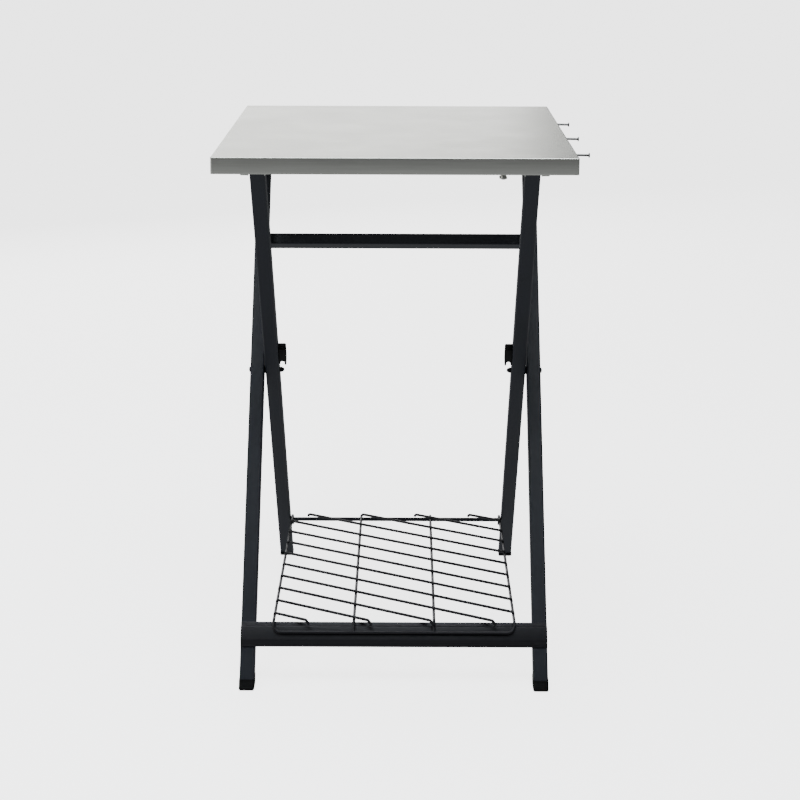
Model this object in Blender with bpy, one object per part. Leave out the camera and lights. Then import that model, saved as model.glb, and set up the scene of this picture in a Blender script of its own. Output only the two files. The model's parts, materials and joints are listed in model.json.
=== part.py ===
"""Folding side table: a stainless worktop on two scissor frames of square steel tube, with a wire shelf.

Metres, +Z up, +Y to the back. The outer frame stands on the front feet and leans back, and carries the
back of the worktop. The inner frame stands on the rear feet and leans forward, and the worktop is hinged
to its top. The shelf hooks over a rail on the outer frame and a rod on the inner frame, and lifts off.
"""

import math

import bmesh
import bpy
from mathutils import Vector

# Worktop: a pan of folded sheet
HEIGHT = 0.900
WORKTOP_WIDTH = 0.580
WORKTOP_DEPTH = 0.720
APRON = 0.027
SHEET = 0.0012
APRON_LIP = 0.012
PAN_CORNER = 0.003
PAN_EDGE = 0.0016

# Leg frames
TUBE = 0.025
TUBE_WALL = 0.0015
TUBE_CORNER = 0.0025
OUTER_WIDTH = 0.522
LEG_GAP = 0.0025
OUTER_LEAN = math.radians(-36.5)
INNER_LEAN = math.radians(35.0)
PIVOT_Y = -0.0086
PIVOT_Z = 0.4680
FRONT_FOOT_HEIGHT = 0.016
REAR_FOOT_HEIGHT = 0.007
FOOT_PROUD = 0.0007
OUTER_LEG_TOP = 0.8765
CAP_THICKNESS = 0.0027

# Hinge of the worktop on the inner legs
HINGE_Z = 0.8795
LEG_PAST_HINGE = 0.007
HINGE_PIN_RADIUS = 0.003
BRACKET_SHEET = 0.0016
BRACKET_BOTTOM = 0.865
BRACKET_FRONT = 0.0221
BRACKET_BACK = 0.014
BRACKET_WING = 0.0125

# Cross members
CROSSBAR = 0.022
CROSSBAR_UP = 0.2690
RAIL_TOP_Z = 0.0970
RAIL_BOTTOM_Z = 0.062
RAIL_DEPTH = 0.006
ROD_RADIUS = 0.0038
ROD_Z = 0.0946

# Pivot hardware
BOLT_RADIUS = 0.003
BOLT_HEAD_RADIUS = 0.005
NUT_LENGTH = 0.008

# Spring lock on each inner leg
LOCK_UP = 0.050
LOCK_REACH = 0.0134
LOCK_DEPTH = 0.016
LOCK_PIN_RADIUS = 0.0025

# Shelf of welded wire
WIRE_RADIUS = 0.0025
SHELF_HALF_WIDTH = 0.205
SHELF_BACK = 0.239
DIAGONAL_COUNT = 13
DIAGONAL_ANGLE = math.radians(30.0)
DIAGONAL_PITCH = 0.1057
DIAGONAL_OFFSET = 0.0515
WELD_SINK = 0.0007

# Hook rail on the right apron
HOOK_RAIL_LENGTH = 0.432
HOOK_RAIL_HEIGHT = 0.020
HOOK_RAIL_SHEET = 0.002
HOOK_RAIL_DROP = 0.005
PEG_DROP = 0.016
PEG_PITCH = 0.206
PEG_RADIUS = 0.002
PEG_REACH = 0.028
PEG_SAG = math.radians(0.8)

# Turn button under the front apron
LATCH_X = 0.171
LATCH_Y = -0.353
LATCH_WIDTH = 0.012
LATCH_LENGTH = 0.028

GAP = 0.0003
ROUND_SIDES = 16
SIDES = (("left", -1), ("right", 1))

OUTER_INSIDE = OUTER_WIDTH / 2 - TUBE
INNER_OUTSIDE = OUTER_INSIDE - LEG_GAP
INNER_INSIDE = INNER_OUTSIDE - TUBE
HINGE_UP = (HINGE_Z - PIVOT_Z) / math.cos(INNER_LEAN)
HINGE_Y = PIVOT_Y - HINGE_UP * math.sin(INNER_LEAN)
UNDERSIDE = HEIGHT - SHEET
APRON_BOTTOM = HEIGHT - APRON


def clear_scene():
    for obj in list(bpy.data.objects):
        bpy.data.objects.remove(obj, do_unlink=True)


def finish(name, colour, metallic, roughness):
    """A Principled material; colour is linear RGB."""
    material = bpy.data.materials.new(name)
    material.use_nodes = True
    shader = material.node_tree.nodes["Principled BSDF"]
    shader.inputs["Base Color"].default_value = (*colour, 1.0)
    shader.inputs["Metallic"].default_value = metallic
    shader.inputs["Roughness"].default_value = roughness
    return material


def empty(name, location, lean=0.0, parent=None):
    """An axis or frame that pieces hang from, turned about X by its lean."""
    axis = bpy.data.objects.new(name, None)
    axis.empty_display_size = 0.05
    axis.location = location
    axis.rotation_euler = (lean, 0.0, 0.0)
    axis.parent = parent
    bpy.context.scene.collection.objects.link(axis)
    return axis


def solid(name, loops, material, parent, ring=False, location=(0, 0, 0), turn=(0, 0, 0)):
    """A closed body skinned over loops of equally many points, capped at both ends or joined in a ring."""
    shape = bmesh.new()
    rows = [[shape.verts.new(point) for point in loop] for loop in loops]
    pairs = list(zip(rows, rows[1:]))
    if ring:
        pairs.append((rows[-1], rows[0]))
    else:
        shape.faces.new(rows[0])
        shape.faces.new(rows[-1])
    for low, high in pairs:
        for i in range(len(low)):
            after = (i + 1) % len(low)
            shape.faces.new((low[i], low[after], high[after], high[i]))
    bmesh.ops.recalc_face_normals(shape, faces=shape.faces)
    mesh = bpy.data.meshes.new(name)
    shape.to_mesh(mesh)
    shape.free()
    mesh.shade_smooth()
    mesh.set_sharp_from_angle(angle=math.radians(35))
    mesh.materials.append(material)
    obj = bpy.data.objects.new(name, mesh)
    obj.location = location
    obj.rotation_euler = turn
    obj.parent = parent
    bpy.context.scene.collection.objects.link(obj)
    return obj


def prism(name, outline, along, low, high, material, parent, location=(0, 0, 0)):
    """An outline pushed along X (outline in Y, Z), Y (in X, Z) or Z (in X, Y)."""

    def place(a, b, c):
        return {"X": (c, a, b), "Y": (a, c, b), "Z": (a, b, c)}[along]

    loops = [[place(a, b, level) for a, b in outline] for level in (low, high)]
    return solid(name, loops, material, parent, location=location)


def circle(radius, height, sides=ROUND_SIDES):
    angles = [2 * math.pi * i / sides for i in range(sides)]
    return [(radius * math.cos(a), radius * math.sin(a), height) for a in angles]


def turned(name, profile, material, parent, location, sign=1, ring=False, sag=0.0, sides=ROUND_SIDES):
    """A body turned about an axis along X. The profile holds (radius, distance from location outwards)."""
    loops = [circle(radius, height, sides) for radius, height in profile]
    turn = (0.0, sign * (math.pi / 2 + sag), 0.0)
    return solid(name, loops, material, parent, ring=ring, location=location, turn=turn)


def arc(centre, radius, start, end, steps):
    """Points on a circular arc, angles in degrees."""
    angles = [math.radians(start + (end - start) * i / steps) for i in range(steps + 1)]
    return [(centre[0] + radius * math.cos(a), centre[1] + radius * math.sin(a)) for a in angles]


def rounded(width, depth, radius, steps=3):
    """A rectangle about the origin with round corners."""
    x, y = width / 2 - radius, depth / 2 - radius
    corners = (((x, y), 0), ((-x, y), 90), ((-x, -y), 180), ((x, -y), 270))
    return [point for centre, start in corners for point in arc(centre, radius, start, start + 90, steps)]


def up_leg(lean, across, z):
    """How far up a leg from the pivot a line at this depth across it reaches the height z."""
    return (z - PIVOT_Z - across * math.sin(lean)) / math.cos(lean)


def level_loop(outline, lean, z):
    """The outline of a leg's section, cut level at the height z."""
    return [(a, b, up_leg(lean, b, z)) for a, b in outline]


def square_loop(outline, along):
    """The outline of a leg's section, cut square at a distance up the leg."""
    return [(a, b, along) for a, b in outline]


def guide(obj):
    obj.hide_render = True
    obj.display_type = "WIRE"
    return obj


def drill(cutter, *pieces):
    for piece in pieces:
        cut = piece.modifiers.new("hole", "BOOLEAN")
        cut.operation = "DIFFERENCE"
        cut.solver = "EXACT"
        cut.object = cutter


def join(piece, *others):
    for other in others:
        guide(other)
        weld = piece.modifiers.new("weld", "BOOLEAN")
        weld.operation = "UNION"
        weld.solver = "EXACT"
        weld.object = other


def cross_hole(name, radius, parent, y=0.0, z=0.0, start=-0.3, end=0.3):
    """A cutter along X."""
    profile = ((radius, start), (radius, end))
    return guide(turned(name, profile, None, parent, (0.0, y, z)))


def make_foot(name, lean, height, x, material, frame):
    """A moulded foot under a leg: a block with round lower edges, and a plug that goes up into the tube."""
    size = TUBE + 2 * FOOT_PROUD
    edge = min(0.003, height - 0.001)
    loops = []
    for angle in (0, 30, 60, 90):
        inset = edge * (1 - math.sin(math.radians(angle)))
        rise = edge * (1 - math.cos(math.radians(angle)))
        side = size - 2 * inset
        loops.append(level_loop(rounded(side, side, 0.0032), lean, rise))
    loops.append(level_loop(rounded(size, size, 0.0032), lean, height))
    plug = rounded(TUBE - 2 * TUBE_WALL - 2 * GAP, TUBE - 2 * TUBE_WALL - 2 * GAP, 0.001)
    loops.append(level_loop(plug, lean, height))
    loops.append(level_loop(plug, lean, height + 0.014))
    return solid(name, loops, material, frame, location=(x, 0, 0))


def make_tube_loops(size, wall, low, high):
    """Outer and inner loops of a square tube; low and high turn a section outline into an end loop."""
    outside = rounded(size, size, TUBE_CORNER)
    inside = rounded(size - 2 * wall, size - 2 * wall, TUBE_CORNER - wall)
    return [low(outside), high(outside), high(inside), low(inside)]


def make_outer_frame(paint, plastic, steel, frame):
    x_leg = OUTER_WIDTH / 2 - TUBE / 2
    pivot_hole = cross_hole("cutter_outer_pivot", BOLT_RADIUS + GAP, frame)
    for side, sign in SIDES:
        x = sign * x_leg
        loops = make_tube_loops(
            TUBE,
            TUBE_WALL,
            lambda outline: level_loop(outline, OUTER_LEAN, FRONT_FOOT_HEIGHT + GAP),
            lambda outline: level_loop(outline, OUTER_LEAN, OUTER_LEG_TOP),
        )
        leg = solid(f"outer_leg_{side}", loops, paint, frame, ring=True, location=(x, 0, 0))
        drill(pivot_hole, leg)
        make_foot(f"front_foot_{side}", OUTER_LEAN, FRONT_FOOT_HEIGHT, x, plastic, frame)
        cap = rounded(TUBE, TUBE, TUBE_CORNER)
        plug_side = TUBE - 2 * TUBE_WALL - 2 * GAP
        plug = rounded(plug_side, plug_side, 0.001)
        cap_low = OUTER_LEG_TOP + GAP
        cap_loops = [
            level_loop(plug, OUTER_LEAN, OUTER_LEG_TOP - 0.012),
            level_loop(plug, OUTER_LEAN, cap_low),
            level_loop(cap, OUTER_LEAN, cap_low),
            level_loop(cap, OUTER_LEAN, cap_low + CAP_THICKNESS),
        ]
        solid(f"outer_leg_cap_{side}", cap_loops, plastic, frame, location=(x, 0, 0))
        make_pivot(side, sign, steel, plastic, frame)
    make_crossbar(paint, frame)
    make_shelf_rail(paint, frame)


def make_pivot(side, sign, steel, plastic, frame):
    """Bolt through both legs, washer between them and a domed nut on the inner face."""
    nut_end = INNER_INSIDE - NUT_LENGTH
    head = OUTER_WIDTH / 2 + GAP
    bolt = (
        (BOLT_RADIUS, nut_end + 0.0025),
        (BOLT_RADIUS, head),
        (BOLT_HEAD_RADIUS, head),
        (BOLT_HEAD_RADIUS, head + 0.0012),
        (BOLT_HEAD_RADIUS * 0.82, head + 0.0023),
        (BOLT_HEAD_RADIUS * 0.45, head + 0.0029),
    )
    turned(f"pivot_bolt_{side}", bolt, steel, frame, (0, 0, 0), sign)
    bore = BOLT_RADIUS + GAP
    washer = ((0.007, INNER_OUTSIDE + GAP), (0.007, OUTER_INSIDE - GAP))
    washer += ((bore, OUTER_INSIDE - GAP), (bore, INNER_OUTSIDE + GAP))
    turned(f"pivot_washer_{side}", washer, plastic, frame, (0, 0, 0), sign, ring=True)
    nut = (
        (bore, nut_end + 0.002),
        (bore, INNER_INSIDE - GAP),
        (0.005, INNER_INSIDE - GAP),
        (0.005, nut_end + 0.0038),
        (0.0043, nut_end + 0.0018),
        (0.0028, nut_end + 0.0005),
        (0.0012, nut_end),
    )
    turned(f"pivot_nut_{side}", nut, steel, frame, (0, 0, 0), sign)


def make_crossbar(paint, frame):
    """Square tube welded across the back of the outer legs."""
    outside = rounded(CROSSBAR, CROSSBAR, 0.002)
    inside = rounded(CROSSBAR - 2 * TUBE_WALL, CROSSBAR - 2 * TUBE_WALL, 0.0008)
    half = OUTER_WIDTH / 2
    loops = []
    for outline, x in ((outside, -half), (outside, half), (inside, half), (inside, -half)):
        loops.append([(x, a, b) for a, b in outline])
    across = TUBE / 2 + CROSSBAR / 2 + GAP
    solid("upper_crossbar", loops, paint, frame, ring=True, location=(0, across, CROSSBAR_UP))


def make_shelf_rail(paint, frame):
    """A folded hat section across the front of the outer legs, which the shelf hooks over."""
    face = -TUBE / 2 - GAP
    low = up_leg(OUTER_LEAN, face, RAIL_BOTTOM_Z)
    high = up_leg(OUTER_LEAN, face, RAIL_TOP_Z)
    sheet = 0.0015
    front = face - RAIL_DEPTH
    back_line = (
        (face, low),
        (face, low + 0.0045),
        (front + sheet, low + 0.0105),
        (front + sheet, high - 0.0100),
        (face, high - 0.0075),
        (face, high),
    )
    front_line = (
        (face - sheet, high),
        (face - sheet, high - 0.0066),
        (front, high - 0.0091),
        (front, low + 0.0100),
        (face - sheet, low + 0.0040),
        (face - sheet, low),
    )
    half = OUTER_WIDTH / 2
    prism("front_shelf_rail", back_line + front_line, "X", -half, half, paint, frame)


def make_inner_frame(paint, plastic, steel, frame):
    x_leg = INNER_OUTSIDE - TUBE / 2
    top = HINGE_UP + LEG_PAST_HINGE
    holes = (
        cross_hole("cutter_inner_pivot", BOLT_RADIUS + GAP, frame),
        cross_hole("cutter_inner_hinge", HINGE_PIN_RADIUS + GAP, frame, z=HINGE_UP),
        cross_hole("cutter_lock_pin", LOCK_PIN_RADIUS + GAP, frame, z=LOCK_UP),
    )
    for side, sign in SIDES:
        x = sign * x_leg
        loops = make_tube_loops(
            TUBE,
            TUBE_WALL,
            lambda outline: level_loop(outline, INNER_LEAN, REAR_FOOT_HEIGHT + GAP),
            lambda outline: square_loop(outline, top),
        )
        leg = solid(f"inner_leg_{side}", loops, paint, frame, ring=True, location=(x, 0, 0))
        for hole in holes:
            drill(hole, leg)
        make_foot(f"rear_foot_{side}", INNER_LEAN, REAR_FOOT_HEIGHT, x, plastic, frame)
        plug_side = TUBE - 2 * TUBE_WALL - 2 * GAP
        plug = rounded(plug_side, plug_side, 0.001)
        cap = rounded(TUBE, TUBE, TUBE_CORNER)
        cap_loops = [
            square_loop(plug, top - 0.003),
            square_loop(plug, top + GAP),
            square_loop(cap, top + GAP),
            square_loop(cap, top + GAP + 0.002),
        ]
        solid(f"inner_leg_cap_{side}", cap_loops, plastic, frame, location=(x, 0, 0))
        make_lock(side, sign, plastic, steel, frame)
        make_hinge_pin(side, sign, steel, frame)
    end = INNER_INSIDE - GAP
    rod_up = (ROD_Z - PIVOT_Z) / math.cos(INNER_LEAN)
    turned("rear_shelf_rod", ((ROD_RADIUS, -end), (ROD_RADIUS, end)), paint, frame, (0, 0, rod_up))


def make_hinge_pin(side, sign, steel, frame):
    """Headed on the inside and closed flush with the bracket on the outside."""
    inside = INNER_INSIDE - GAP - BRACKET_SHEET - GAP
    outside = INNER_OUTSIDE + GAP + BRACKET_SHEET
    pin = (
        (0.0035, inside - 0.0024),
        (0.0050, inside - 0.0014),
        (0.0050, inside),
        (HINGE_PIN_RADIUS, inside),
        (HINGE_PIN_RADIUS, outside),
    )
    turned(f"hinge_pin_{side}", pin, steel, frame, (0, 0, HINGE_UP), sign)


def make_lock(side, sign, plastic, steel, frame):
    """A moulded finger pull on the inner face of the leg, its pin through the leg, and the pin's spring."""
    face = INNER_INSIDE - GAP
    tip = face - LOCK_REACH
    arch = arc((face - 0.0061, -0.0225), 0.0034, 0, -180, 8)
    arch = [(x, z + 2 * (-0.0225 - z)) for x, z in arch]
    outline = [(face, 0.013), (face, -0.027), (face - 0.0020, -0.027)]
    outline += arch
    outline += [(tip + 0.0038, -0.0275), (tip + 0.0028, -0.029), (tip + 0.0014, -0.029)]
    outline += [(tip + 0.0004, -0.027), (tip, -0.012), (tip, 0.0105)]
    outline += arc((tip + 0.0025, 0.0105), 0.0025, 180, 90, 3)
    depth = LOCK_DEPTH / 2
    loops = [[(sign * x, y, z) for x, z in outline] for y in (-depth, depth)]
    solid(f"leg_lock_{side}", loops, plastic, frame, location=(0, 0, LOCK_UP))
    collar = INNER_OUTSIDE - TUBE_WALL - 0.0055
    pin = (
        (LOCK_PIN_RADIUS, face + GAP),
        (LOCK_PIN_RADIUS, collar),
        (0.0045, collar),
        (0.0045, collar + 0.002),
        (LOCK_PIN_RADIUS, collar + 0.002),
        (LOCK_PIN_RADIUS, INNER_OUTSIDE + 0.0002),
        (0.0012, INNER_OUTSIDE + 0.0013),
    )
    turned(f"lock_pin_{side}", pin, steel, frame, (0, 0, LOCK_UP), sign)
    make_spring(side, sign, steel, frame, INNER_INSIDE + TUBE_WALL + GAP)


def make_spring(side, sign, steel, frame, start):
    """A coil round the lock pin, against the leg's inner wall."""
    turns, steps, length, radius, wire, sides = 4, 10, 0.0075, 0.0036, 0.0004, 5
    loops = []
    for i in range(turns * steps + 1):
        angle = 2 * math.pi * i / steps
        x = start + wire + length * i / (turns * steps)
        out = Vector((0.0, math.cos(angle), math.sin(angle)))
        loop = []
        for k in range(sides):
            turn = 2 * math.pi * k / sides
            point = out * (radius + wire * math.cos(turn))
            loop.append((sign * (x + wire * math.sin(turn)), point.y, point.z))
        loops.append(loop)
    solid(f"lock_spring_{side}", loops, steel, frame, location=(0, 0, LOCK_UP))


def make_pan(stainless, worktop):
    """Top sheet, folded aprons and their inward lips, as one shell open below."""

    def loop(inset, z, radius=PAN_CORNER):
        outline = rounded(WORKTOP_WIDTH - 2 * inset, WORKTOP_DEPTH - 2 * inset, radius)
        return [(x, y, z) for x, y in outline]

    inside = PAN_CORNER - SHEET
    loops = [
        loop(SHEET, UNDERSIDE, inside),
        loop(SHEET, APRON_BOTTOM + SHEET, inside),
        loop(APRON_LIP, APRON_BOTTOM + SHEET, 0.001),
        loop(APRON_LIP, APRON_BOTTOM, 0.001),
        loop(PAN_EDGE * 0.6, APRON_BOTTOM),
        loop(0.0, APRON_BOTTOM + PAN_EDGE * 0.6),
        loop(0.0, HEIGHT - PAN_EDGE),
        loop(PAN_EDGE * 0.3, HEIGHT - PAN_EDGE * 0.3),
        loop(PAN_EDGE, HEIGHT),
    ]
    return solid("worktop_pan", loops, stainless, worktop)


def make_worktop(stainless, steel, peg_metal, worktop):
    pan = make_pan(stainless, worktop)
    for side, sign in SIDES:
        make_rib(side, sign, stainless, worktop)
        make_hinge_bracket(side, sign, stainless, worktop)
        make_catch(side, sign, stainless, worktop)
    make_hook_rail(pan, steel, peg_metal, worktop)


def make_rib(side, sign, stainless, worktop):
    """A hat-section stiffener under the top sheet, running front to back."""
    top = UNDERSIDE - GAP
    depth, wall = 0.012, 0.0012
    outline = [(-0.024, top), (-0.024, top - wall), (-0.015, top - wall), (-0.012, top - depth)]
    outline += [(0.012, top - depth), (0.015, top - wall), (0.024, top - wall), (0.024, top)]
    outline += [(0.0145, top), (0.0108, top - depth + wall), (-0.0108, top - depth + wall), (-0.0145, top)]
    outline = [(a + sign * 0.120, b) for a, b in outline]
    half = WORKTOP_DEPTH / 2 - 0.016
    prism(f"underside_rib_{side}", outline, "Y", -half, half, stainless, worktop)


def make_hinge_bracket(side, sign, stainless, worktop):
    """A folded channel over the inner leg's top, with a wing out to the side at its front edge."""
    inner = INNER_INSIDE - GAP
    outer = INNER_OUTSIDE + GAP
    top = UNDERSIDE - GAP
    channel = [
        (inner, BRACKET_BOTTOM),
        (inner, top - BRACKET_SHEET),
        (outer, top - BRACKET_SHEET),
        (outer, BRACKET_BOTTOM),
        (outer + BRACKET_SHEET, BRACKET_BOTTOM),
        (outer + BRACKET_SHEET, top),
        (inner - BRACKET_SHEET, top),
        (inner - BRACKET_SHEET, BRACKET_BOTTOM),
    ]
    channel = [(sign * a, b) for a, b in channel]
    front, back = HINGE_Y - BRACKET_FRONT, HINGE_Y + BRACKET_BACK
    bracket = prism(f"hinge_bracket_{side}", channel, "Y", front, back, stainless, worktop)
    start = outer + BRACKET_SHEET / 2
    end = outer + BRACKET_SHEET + BRACKET_WING
    corner = 0.004
    wing = [(start, top), (start, BRACKET_BOTTOM + 0.0002)]
    wing += arc((end - corner, BRACKET_BOTTOM + 0.0002 + corner), corner, 270, 360, 4)
    wing += [(end, top)]
    wing = [(sign * a, b) for a, b in wing]
    wing_back = front + BRACKET_SHEET
    plate = prism(f"weld_wing_{side}", wing, "Y", front + 0.0001, wing_back, None, worktop)
    join(bracket, plate)
    hole = cross_hole(f"cutter_bracket_{side}", HINGE_PIN_RADIUS + GAP, worktop, HINGE_Y, HINGE_Z)
    drill(hole, bracket)


def make_catch(side, sign, stainless, worktop):
    """A seat on the outer leg's cap with a lip down behind it. It is open to the front and below."""
    top = UNDERSIDE - GAP
    sheet = BRACKET_SHEET
    leg_top = OUTER_LEG_TOP + GAP + CAP_THICKNESS
    seat = leg_top + GAP
    centre = PIVOT_Y + (leg_top - PIVOT_Z) * math.tan(-OUTER_LEAN)
    half_section = TUBE / 2 / math.cos(OUTER_LEAN)
    lip = centre + half_section + 0.0005
    front = centre - half_section
    outline = [
        (lip, leg_top - 0.015),
        (lip + sheet, leg_top - 0.015),
        (lip + sheet, top),
        (front, top),
        (front, top - sheet),
        (lip, top - sheet),
        (lip, seat + sheet),
        (front, seat + sheet),
        (front, seat),
        (lip, seat),
    ]
    low, high = sorted((sign * (OUTER_INSIDE - 0.003), sign * (OUTER_WIDTH / 2 + 0.002)))
    prism(f"catch_bracket_{side}", outline, "X", low, high, stainless, worktop)


def make_hook_rail(pan, steel, peg_metal, worktop):
    """A strip on the right apron with three headed pegs, held by two screws."""
    back = WORKTOP_WIDTH / 2 + GAP
    front = back + HOOK_RAIL_SHEET
    top = HEIGHT - HOOK_RAIL_DROP
    centre = top - HOOK_RAIL_HEIGHT / 2
    strip = [(y, z + centre) for y, z in rounded(HOOK_RAIL_LENGTH, HOOK_RAIL_HEIGHT, 0.003)]
    rail = prism("hook_rail", strip, "X", back, front, peg_metal, worktop)
    peg = (
        (PEG_RADIUS - 0.0002, -HOOK_RAIL_SHEET),
        (PEG_RADIUS - 0.0002, GAP),
        (0.0040, GAP),
        (0.0040, 0.0014),
        (PEG_RADIUS, 0.0018),
        (PEG_RADIUS, PEG_REACH - 0.0024),
        (0.0039, PEG_REACH - 0.0020),
        (0.0039, PEG_REACH - 0.0005),
        (0.0032, PEG_REACH),
    )
    for name, y in (("front", -PEG_PITCH), ("middle", 0.0), ("rear", PEG_PITCH)):
        place = (front, y, HEIGHT - PEG_DROP)
        turned(f"hook_peg_{name}", peg, peg_metal, worktop, place, sag=PEG_SAG)
        drill(cross_hole(f"cutter_peg_{name}", PEG_RADIUS + 0.0004, worktop, place[1], place[2]), rail)
    screw = ((0.0016, -0.0075), (0.0016, GAP), (0.0032, GAP), (0.0032, 0.0012), (0.0020, 0.0021))
    for name, y in (("front", -0.155), ("rear", 0.155)):
        turned(f"rail_screw_{name}", screw, steel, worktop, (front, y, centre))
        hole = cross_hole(f"cutter_screw_{name}", 0.0020, worktop, y, centre, start=0.25)
        drill(hole, rail, pan)


def make_latch(stainless, steel, worktop, latch):
    """A turn button under the front lip: plate, spacer and the rivet that it turns on."""
    low = APRON_BOTTOM - 0.0065
    radius = LATCH_WIDTH / 2
    plate = arc((0.0, 0.0), radius, 180, 360, 6)
    plate += arc((0.0, LATCH_LENGTH - LATCH_WIDTH), radius, 0, 180, 6)
    button = prism("stow_latch", plate, "Z", low, low + 0.002, stainless, latch)
    height = APRON_BOTTOM - GAP
    spacer = [circle(0.0045, low + 0.001), circle(0.0045, height)]
    join(button, solid("weld_spacer", spacer, None, latch))
    bore = solid("cutter_latch", [circle(0.0024, low - 0.01), circle(0.0024, height + 0.01)], None, latch)
    drill(guide(bore), button)
    rivet = [
        circle(0.0030, low - 0.0012),
        circle(0.0040, low - 0.0006),
        circle(0.0040, low - GAP),
        circle(0.0020, low - GAP),
        circle(0.0020, height),
    ]
    place = (LATCH_X, LATCH_Y, 0.0)
    solid("latch_rivet", rivet, steel, worktop, location=place)


def wire(name, route, material, parent, sides=8):
    """A round wire along a route, each joint cut at half the bend."""
    points = [Vector(point) for point in route]
    loops = []
    for i, point in enumerate(points):
        before = (point - points[i - 1]).normalized() if i else (points[1] - point).normalized()
        after = (points[i + 1] - point).normalized() if i + 1 < len(points) else before
        along = (before + after).normalized()
        if i == 0:
            side = along.cross(Vector((0, 0, 1)))
            if side.length < 0.1:
                side = along.cross(Vector((1, 0, 0)))
            side.normalize()
        side = (side - along * side.dot(along)).normalized()
        rise = side.cross(along)
        stretch = 1.0 / max(0.5, along.dot(after))
        bend = before.cross(after)
        loop = []
        for k in range(sides):
            turn = 2 * math.pi * (k + 0.5) / sides
            offset = side * math.cos(turn) + rise * math.sin(turn)
            if bend.length > 1e-6:
                out = bend.normalized().cross(along)
                offset += out * offset.dot(out) * (stretch - 1.0)
            loop.append(point + offset * WIRE_RADIUS)
        loops.append(loop)
    return solid(name, loops, material, parent)


def make_shelf(paint, shelf):
    """Side wires with a hooked front loop, two runners, and slanting wires welded on top."""
    level = ROD_Z + ROD_RADIUS + GAP + WIRE_RADIUS
    face = -TUBE / 2 - GAP - RAIL_DEPTH - GAP - WIRE_RADIUS
    rod_y = PIVOT_Y + (PIVOT_Z - ROD_Z) * math.tan(INNER_LEAN)

    def down_rail(z):
        """Where a wire lying on the rail's face is at the height z."""
        along = up_leg(OUTER_LEAN, face, z)
        return PIVOT_Y + face * math.cos(OUTER_LEAN) - along * math.sin(OUTER_LEAN)

    bend_y = down_rail(level)
    hook_z = 0.0860
    turn = 0.012
    down = (Vector((0, down_rail(hook_z), hook_z)) - Vector((0, bend_y, level))).normalized()
    low = Vector((0, down_rail(hook_z), hook_z))
    corner = [low - down * turn * (1 - math.sin(a)) for a in (0.0, math.pi / 6, math.pi / 3)]
    hook_y = rod_y + ROD_RADIUS + WIRE_RADIUS + 0.0008
    side_route = []
    half = SHELF_HALF_WIDTH
    for sign in (-1, 1):
        leg = [(sign * half, hook_y, ROD_Z - 0.0126), (sign * half, hook_y, level - 0.0020)]
        leg.append((sign * half, hook_y - 0.0020, level))
        leg += [(sign * half, bend_y + 0.003, level), (sign * half, bend_y - 0.001, level - 0.0012)]
        for point, angle in zip(corner, (0.0, math.pi / 6, math.pi / 3)):
            x = half - turn * (1 - math.cos(angle))
            leg.append((sign * x, point.y, point.z))
        leg.append((sign * (half - turn), low.y, low.z))
        side_route.append(leg)
    route = side_route[0] + side_route[1][::-1]
    frame = wire("wire_shelf", route, paint, shelf)
    others = []
    for name, x in (("left", -half / 3), ("right", half / 3)):
        runner = [(x, rod_y + 0.001, level), (x, bend_y + 0.003, level)]
        runner += [(x, bend_y - 0.001, level - 0.0012), (x, low.y, low.z + 0.0002)]
        others.append(wire(f"weld_runner_{name}", runner, None, shelf))
    top = level + 2 * WIRE_RADIUS - WELD_SINK
    slope = math.tan(DIAGONAL_ANGLE)
    for k in range(DIAGONAL_COUNT):
        crossing = -half - DIAGONAL_OFFSET + DIAGONAL_PITCH * (k - 8)
        others.append(make_diagonal(k, crossing, slope, top, bend_y, shelf, rod_y))
    join(frame, *others)


def make_diagonal(k, crossing, slope, top, bend_y, shelf, rod_y):
    """One slanting wire. It crosses the line of the shelf's back at x = crossing."""

    def at_y(y):
        return crossing + (SHELF_BACK - y) / slope

    def at_x(x):
        return SHELF_BACK - (x - crossing) * slope

    half = SHELF_HALF_WIDTH
    back_y = rod_y - 0.0005
    front_y = bend_y - 0.004
    if at_y(back_y) > -half:
        route = [(at_y(back_y), back_y, top - 0.0040), (at_y(back_y - 0.0015), back_y - 0.0015, top)]
    else:
        route = [(-half - 0.0005, at_x(-half - 0.0005), top)]
    if at_x(half) < front_y:
        route += [(at_y(front_y + 0.003), front_y + 0.003, top)]
        route += [(at_y(front_y - 0.002), front_y - 0.002, top - 0.003)]
        route += [(at_y(front_y - 0.005), front_y - 0.005, top - 0.008)]
    else:
        route.append((half + 0.0005, at_x(half + 0.0005), top))
    return wire(f"weld_diagonal_{k:02d}", route, None, shelf, sides=6)


def stand_on_floor(table):
    """Moves the table so that the middle of its box's base is the origin."""
    bpy.context.view_layer.update()
    graph = bpy.context.evaluated_depsgraph_get()
    points = []
    for obj in bpy.context.scene.objects:
        if obj.type == "MESH" and not obj.hide_render:
            shape = obj.evaluated_get(graph)
            points += [obj.matrix_world @ vertex.co for vertex in shape.to_mesh().vertices]
            shape.to_mesh_clear()
    low = Vector(min(point[i] for point in points) for i in range(3))
    high = Vector(max(point[i] for point in points) for i in range(3))
    middle = (low + high) / 2
    table.location = (-middle.x, -middle.y, -low.z)


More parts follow.
